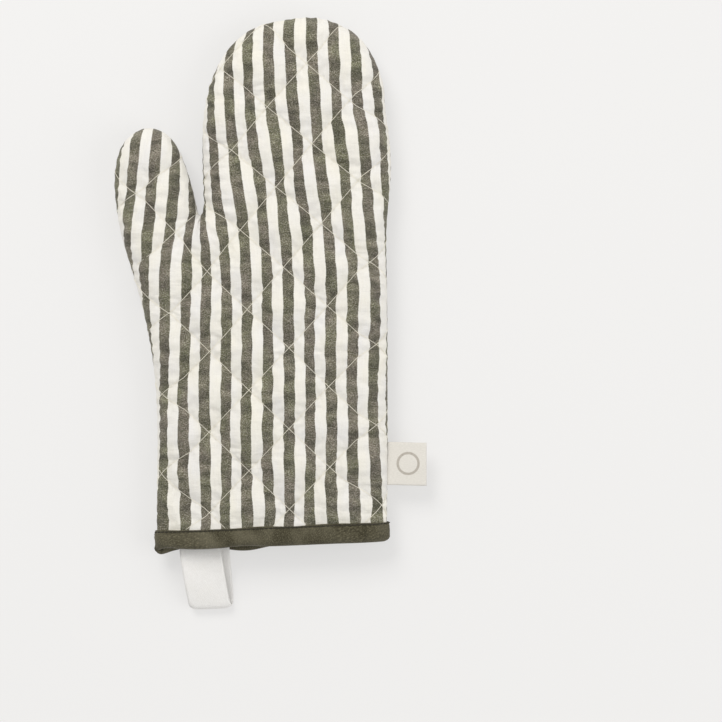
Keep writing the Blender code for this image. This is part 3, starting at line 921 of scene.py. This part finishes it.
def make_panel(panel, materials):
    places, triangles = panel_plan(panel)
    outer, outer_cloth = outer_surface(panel, places)
    inner, inner_cloth = inner_surface(panel, places)
    outer = settle_cloth(panel, places, outer, triangles)
    middles = places[triangles].mean(axis=1)
    thumb = on_thumb(middles)
    for region, chosen in (("hand", ~thumb), ("thumb", thumb)):
        name = f"{panel.name}_panel_{region}"
        faces = (outer, inner, outer_cloth, inner_cloth)
        piece = close_panel(name, panel, *faces, triangles, chosen, materials)
        bodies = ("thumb",) if region == "thumb" else ("palm", "fingers")
        layers = ("shell", "wadding", "lining")
        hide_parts(*[f"{panel.name}_{layer}_{body}" for layer in layers for body in bodies])
        bend_with(piece, region)


QUILT_STITCH = 3.1
QUILT_THREAD = 0.19
THREAD_STEP = 0.4
THREAD_END = 12.6


def stitched(length, radius, stitch, roundness):
    """Height of a thread's middle over the cloth along a seam: up over each stitch, down between them."""
    return radius * (2.0 * np.abs(np.sin(math.pi * length / stitch)) ** roundness - 1.35) + 0.12


def stitch_lines(panel):
    """Places along each run of quilting, and the region of the mitt that it is on."""
    reach = np.arange(-9.0, 9.0, THREAD_STEP / CELL)
    for whole in range(-9, 10):
        fixed = np.full_like(reach, float(whole))
        for pair in ((fixed, reach), (reach, fixed)):
            places, index = from_quilt(panel, *pair)
            clear = clear_of_edges(places, THREAD_END, 1.0)
            places, index = places[clear], index[clear]
            thumb = on_thumb(places)
            order = np.lexsort((index, thumb & (places[:, 1] > CROTCH[1]), thumb))
            places, thumb = places[order], thumb[order]
            gap = np.linalg.norm(np.diff(places, axis=0), axis=1) > 3 * THREAD_STEP
            breaks = np.flatnonzero(gap | (thumb[1:] != thumb[:-1])) + 1
            for part in np.split(np.arange(len(places)), breaks):
                if len(part) >= 8:
                    yield places[part], "thumb" if thumb[part[0]] else "hand"


def make_quilt_threads(panel, material):
    runs = {"hand": [], "thumb": []}
    for places, region in stitch_lines(panel):
        points, _ = outer_surface(panel, places)
        points[:, 2] += panel.side * stitched(run_lengths(points), QUILT_THREAD, QUILT_STITCH, 0.45)
        runs[region].append((points, np.tile([0.0, 0.0, float(panel.side)], (len(points), 1))))
    for region, threads in runs.items():
        piece = tubes(f"{panel.name}_quilting_{region}", threads, QUILT_THREAD, material)
        bend_with(piece, region)


# ---- the cuff

TOP_STITCH_HEIGHT = 11.5
TOP_STITCH = 2.7
TOP_THREAD = 0.45
# Where along the hem the binding's end laps over its start.
LAP_ALONG = 123.0
LAP_RISE = 1.1
MOUTH_END_STEPS = 14
MOUTH_MIDDLE_STEPS = 64
BINDING_STEP = 1.9
# The binding's outline from its outer edge, round the fold and up inside: height over the hem, and
# distance out from the panel's outer face.
BINDING_SECTION = [
    (12.1, -0.5), (12.45, 0.2), (12.35, 0.6), (12.0, 0.72), (11.5, 0.55), (11.0, 0.72), (10.2, 0.95),
    (8.4, 1.1), (6.6, 1.25), (4.6, 1.3), (2.9, 1.1), (1.5, 0.5), (0.6, -0.4), (0.15, -1.4), (0.3, -2.5),
    (1.0, -3.5), (2.4, -4.2), (4.6, -4.5), (7.5, -4.5), (10.6, -4.45), (12.0, -4.3), (12.3, -3.9),
    (12.1, -3.3),
]


def mouth_sides(height):
    """Where the seam crosses this height over the hem: left and right, in distance along the hem."""
    over = height_over_hem(SEAM)
    along = (SEAM - HEM_LEFT) @ HEM_ALONG
    right = np.interp(height, over[:80], along[:80])
    left = np.interp(height, over[::-1][:80], along[::-1][:80])
    return left, right


def back_drop(along):
    """How far the back's hem hangs below the front's."""
    x = along + HEM_LEFT[0]
    return 3.0 * np.exp(-(((x + 63) / 10) ** 2)) + 3.2 * np.exp(-(((x + 16) / 15) ** 2)) - 0.3


def front_rise(along):
    """How far the front's hem is drawn up, so that the mouth shows under it."""
    x = along + HEM_LEFT[0]
    return 1.3 * np.exp(-(((x + 57) / 8) ** 2)) + 1.0 * np.exp(-(((x + 17) / 12) ** 2))


def mouth_ring(height, out=0.0):
    """Points round the mouth at this height over the hem: the front left to right, then the back."""
    left, right = mouth_sides(height)
    reach = rounding(FRONT, np.array([height]))[0][0]
    ends = reach * (np.arange(MOUTH_END_STEPS) / MOUTH_END_STEPS) ** 1.2
    middle = np.linspace(reach, right - left - reach, MOUTH_MIDDLE_STEPS)
    across = np.concatenate([ends, middle, (right - left) - ends[::-1]])
    across = np.clip(across, 0.02, right - left - 0.02)
    across = np.sort(np.append(across, [LAP_ALONG - left - 0.15, LAP_ALONG - left + 0.15]))
    along = left + across
    places = hem_place(along, np.full_like(along, height))
    front, _ = outer_surface(FRONT, places, plain=True)
    back, _ = outer_surface(BACK, places, plain=True)
    back[:, :2] -= np.multiply.outer(back_drop(along) * (1 - smoothstep(0, 60, height)), HEM_UP)
    front[:, :2] += np.multiply.outer(front_rise(along) * (1 - smoothstep(2, 9, height)), HEM_UP)
    ring = np.vstack([front, back[::-1]])
    ahead = unit(np.roll(ring, -1, axis=0) - np.roll(ring, 1, axis=0))
    normal = unit(np.cross(ahead, np.array([*HEM_UP, 0.0])))
    both = np.concatenate([along, along[::-1]])
    is_front = np.arange(len(ring)) < len(along)
    up = np.where(is_front, height, height + 90)
    rumple = 0.36 * ripples(both + 0.7 * height, up, 13.0, 301) + 0.2 * ripples(both - height, up, 6.0, 302)
    lap = LAP_RISE * is_front * smoothstep(LAP_ALONG - 0.12, LAP_ALONG + 0.12, both)
    lap = lap * (1 - smoothstep(LAP_ALONG + 7, LAP_ALONG + 13, both))
    offset = out + (rumple + lap if out > -0.45 else 0.5 * rumple)
    return ring + normal * np.reshape(offset, (-1, 1)), normal, both


def make_binding(material):
    from_edge = run_lengths(np.array(BINDING_SECTION))
    fold = min(range(len(BINDING_SECTION)), key=lambda i: BINDING_SECTION[i][0])
    rings, places = [], []
    for (height, out), length in zip(BINDING_SECTION, from_edge):
        ring, _, both = mouth_ring(height, out)
        wave = 0.3 * ripples(both, np.zeros_like(both), 30.0, 303) * smoothstep(8, 12, height)
        ring[:, :2] += np.multiply.outer(wave, HEM_UP)
        ring[:, 2] = np.maximum(ring[:, 2], 0.05)
        rings.append(ring)
        from_fold = np.full(len(both), length - from_edge[fold])
        places.append(np.column_stack([np.arange(len(both)) * BINDING_STEP, from_fold]))
    count = len(rings[0])
    faces = []
    for i in range(len(rings)):
        band = quads(i * count, (i + 1) % len(rings) * count, count)
        faces += [(a, d, c, b) for a, b, c, d in band]
    piece = add_mesh("cuff_binding_cloth", np.vstack(rings), faces, np.vstack(places), [material])
    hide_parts("cuff_binding")
    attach(piece, "palm")


def make_top_stitch(material):
    ring, normal, _ = mouth_ring(TOP_STITCH_HEIGHT, 0.55)
    both, length = resampled(np.hstack([ring, normal])[np.r_[: len(ring), 0]], 0.3)
    points, up = both[:, :3], unit(both[:, 3:])
    points = points + up * stitched(length, TOP_THREAD, TOP_STITCH, 0.9)[:, None]
    points[:, 2] = np.maximum(points[:, 2], 0.3)
    piece = tubes("cuff_top_stitch", [(points, up)], TOP_THREAD, material, sides=6)
    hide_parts("cuff_stitching")
    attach(piece, "palm")


# ---- the loop and the label

TAPE_WIDTH = 25.6
TAPE_THICKNESS = 0.75
# The tape's path from its lower sewn end, out to its fold and back: out from the hem, height, and how
# far to the right its middle has drifted.
TAPE_PATH = [
    (-9, 9.6, -38.7), (-2, 10.0, -38.6), (3.4, 9.6, -38.5), (10, 7.4, -38.3), (18, 3.9, -38.1),
    (26, 1.7, -38.0), (32, 1.1, -38.0), (36.2, 1.9, -38.3), (37.7, 3.7, -38.9), (36.4, 5.6, -39.5),
    (32, 6.9, -40.2), (26, 8.3, -41.0), (18, 10.2, -41.9), (10, 11.8, -42.8), (3.4, 12.5, -43.4),
    (-2, 12.4, -43.6), (-9, 11.7, -43.7),
]
TAPE_COLUMNS = 19
# A line this far out from the hem, at this X and height, which make_loop works out as the loop's swing line
# but doesn't use; the loop doesn't swing.
LOOP_PIVOT_OUT = 2.6
LOOP_PIVOT_X = -40.4
LOOP_PIVOT_Z = 11.4
LOOP_BEND = 4.6

LABEL_ROOT = 70.6
LABEL_TIP = 96.1
LABEL_CENTRE_Y = -92.2
LABEL_WIDTH = 26.5
LABEL_THICKNESS = 0.34
LABEL_COLUMNS = 31
LABEL_MIDDLE_Z = 13.45
# The label's path from the seam over its top to its tip and back: X and height.
LABEL_PATH = [
    (LABEL_ROOT, 13.95), (78, 14.3), (86, 14.45), (93, 14.3), (95.6, 13.9), (LABEL_TIP - 0.2, 13.45),
    (95.6, 13.0), (93, 12.6), (86, 12.5), (78, 12.6), (LABEL_ROOT, 13.05),
]
LABEL_PIVOT = 73.2
LABEL_BEND = 2.0
LABEL_RING_RADIUS = 6.4
LABEL_RING_WIDTH = 1.5
# The back of the label has its pattern this far from the ring.
LABEL_BACK_SHIFT = 40.0


def across_tape(path, width, columns):
    """A grid of a tape's points: each column of its path, and the place across it, as one array each."""
    spread = np.linspace(-width / 2, width / 2, columns)
    grids = [np.repeat(column[:, None], columns, axis=1) for column in path.T]
    return (*grids, np.tile(spread, (len(path), 1)))


def make_loop(material):
    path, length = resampled(smooth_path(TAPE_PATH), 1.1)
    columns = np.column_stack([path, length])
    out, height, middle_x, along, spread = across_tape(columns, TAPE_WIDTH, TAPE_COLUMNS)
    share = spread / (TAPE_WIDTH / 2)
    corner = 1.6 * np.abs(share) ** 7 * smoothstep(33, 37.5, out)
    upper = smoothstep(-0.2, 0.2, (along - length[-1] / 2) / length[-1])
    curl = 0.30 * ripples(spread, along, 26.0, 401) + 0.9 * upper * share**2 * smoothstep(36, 10, out)
    skew = 0.33 * np.sin(along / 11.0) * share
    z = np.maximum(height + smoothstep(2, 14, out) * (curl + skew), 0.55)
    plan = hem_place((middle_x - HEM_LEFT[0]) / HEM_ALONG[0] + spread, corner - out)
    ahead = unit(np.column_stack([np.gradient(path[:, 0]), np.gradient(path[:, 1])]))
    ways = ahead[:, 0, None] * np.array([0, 0, -1.0]) - ahead[:, 1, None] * np.array([*HEM_UP, 0.0])
    ways = np.repeat(unit(ways)[:, None, :], TAPE_COLUMNS, axis=1)
    centres = np.concatenate([plan, z[..., None]], axis=-1)
    cloth = np.stack([spread, along], axis=-1)
    piece = slab("hanging_loop_tape", centres, ways, TAPE_THICKNESS, cloth, material)
    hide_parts("hanging_loop", "loop_ends", "loop_bar_tack")
    pivot = HEM_LEFT + HEM_ALONG * (LOOP_PIVOT_X - HEM_LEFT[0])
    start, end = (
        (*((pivot - HEM_UP * (LOOP_PIVOT_OUT + bend)) * MM), LOOP_PIVOT_Z * MM)
        for bend in (-LOOP_BEND, LOOP_BEND)
    )
    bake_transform(piece)
    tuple(start)
    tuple(end)


def make_label(material):
    path, length = resampled(smooth_path(LABEL_PATH), 0.55)
    x, z, spread = across_tape(path, LABEL_WIDTH, LABEL_COLUMNS)
    far = smoothstep(LABEL_PIVOT, LABEL_TIP, x)
    sag = far * (0.5 * np.cos(spread / 9.0) - 0.8 * far + 0.15 * ripples(x, spread, 14.0, 501))
    centres = np.stack([x, LABEL_CENTRE_Y + spread - 0.5 * far, z + sag], axis=-1)
    ahead = unit(np.gradient(path, axis=0))
    ways = np.column_stack([-ahead[:, 1], np.zeros(len(path)), ahead[:, 0]])
    ways = np.repeat(ways[:, None, :], LABEL_COLUMNS, axis=1)
    across = x - (LABEL_PIVOT + LABEL_TIP) / 2 + np.where(z > LABEL_MIDDLE_Z, 0.0, LABEL_BACK_SHIFT)
    cloth = np.stack([across, centres[..., 1] - LABEL_CENTRE_Y], axis=-1)
    piece = slab("side_label_tape", centres, ways, LABEL_THICKNESS, cloth, material)
    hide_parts("side_label")
    start, end = (
        ((LABEL_PIVOT + bend) * MM, LABEL_CENTRE_Y * MM, SEAM_Z * MM) for bend in (-LABEL_BEND, LABEL_BEND)
    )
    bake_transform(piece)
    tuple(start)
    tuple(end)


# ---- the stage

CAMERA_PLACE = (55.6, -29.0)
CAMERA_HEIGHT = 1600.0
VIEW_WIDTH = 445.5
SENSOR_WIDTH = 36.0
WORLD_STRENGTH = 0.62
# Each lamp's place and size in metres, power in watts, and colour.
LAMPS = {
    "key_light": ((-0.75, 1.5, 1.65), 1.1, 32.0, (1.0, 0.985, 0.965)),
    "fill_light": ((1.9, -0.4, 1.2), 2.0, 18.0, (1.0, 1.0, 1.0)),
}
# The floor glows a little of its own, as a lit table does, so that shadows on it stay faint.
FLOOR_TONES = ((0.300, 0.297, 0.292, 1.0), (0.308, 0.305, 0.300, 1.0))
FLOOR_GLOW = 0.53


def make_floor():
    shader = Shader("pale_paper", 0.85)
    place = shader.nodes.new("ShaderNodeTexCoord").outputs["UV"]
    grain = shader.noise(place, scale=900.0, detail=3.0)
    cloudy = shader.noise(place, scale=4.0, detail=2.0)
    colour = shader.mix(shader.fit(cloudy, 0.3, 0.7), FLOOR_TONES[0], FLOOR_TONES[1])
    shader.surface.inputs["Emission Color"].default_value = (1.0, 0.992, 0.982, 1.0)
    shader.surface.inputs["Emission Strength"].default_value = FLOOR_GLOW
    material = shader.finish(colour, shader.bump(grain, 0.1 * MM, 0.2))
    bpy.ops.mesh.primitive_plane_add(size=6.0, location=(0.0, 0.0, -0.3 * MM))
    floor = bpy.context.object
    floor.name = "floor"
    floor.data.materials.append(material)


def make_lamp(name, place, size, power, colour):
    data = bpy.data.lights.new(name, "AREA")
    data.shape = "SQUARE"
    data.size = size
    data.energy = power
    data.color = colour
    lamp = bpy.data.objects.new(name, data)
    lamp.location = place
    lamp.rotation_euler = (-lamp.location).to_track_quat("-Z", "Y").to_euler()
    lamp.visible_camera = False
    bpy.context.scene.collection.objects.link(lamp)


def make_stage():
    make_floor()
    for name, settings in LAMPS.items():
        make_lamp(name, *settings)
    world = bpy.data.worlds.new("pale_room")
    world.use_nodes = True
    background = world.node_tree.nodes["Background"]
    background.inputs["Color"].default_value = (1.0, 1.0, 1.0, 1.0)
    background.inputs["Strength"].default_value = WORLD_STRENGTH
    scene = bpy.context.scene
    scene.world = world
    scene.view_settings.view_transform = "Standard"
    camera = bpy.data.objects.new("camera", bpy.data.cameras.new("camera"))
    camera.data.sensor_width = SENSOR_WIDTH
    camera.data.lens = SENSOR_WIDTH * CAMERA_HEIGHT / VIEW_WIDTH
    camera.data.clip_end = 20.0
    camera.location = (CAMERA_PLACE[0] * MM, CAMERA_PLACE[1] * MM, (CAMERA_HEIGHT + SEAM_Z) * MM)
    scene.collection.objects.link(camera)
    scene.camera = camera


# ---- the whole mitt

stripes = striped_cotton()
lining = plain_cotton("lining_cloth", ((206, 200, 184), (226, 221, 207), (238, 234, 223)), 0.5)
binding_tones = ((48, 44, 28), (86, 81, 61), (140, 134, 112))
binding = plain_cotton("binding_cloth", binding_tones, 0.55, turn=math.radians(45), wear=(140, 134, 112))
cream_thread = sewing_thread("cream_thread", (244, 240, 226), (222, 216, 198))
dark_thread = sewing_thread("dark_top_thread", (62, 57, 40), (36, 32, 22))
for panel in (FRONT, BACK):
    make_panel(panel, [stripes, lining])
    make_quilt_threads(panel, cream_thread)
make_binding(binding)
make_top_stitch(dark_thread)
make_loop(twill_tape())
make_label(label_satin())
make_stage()
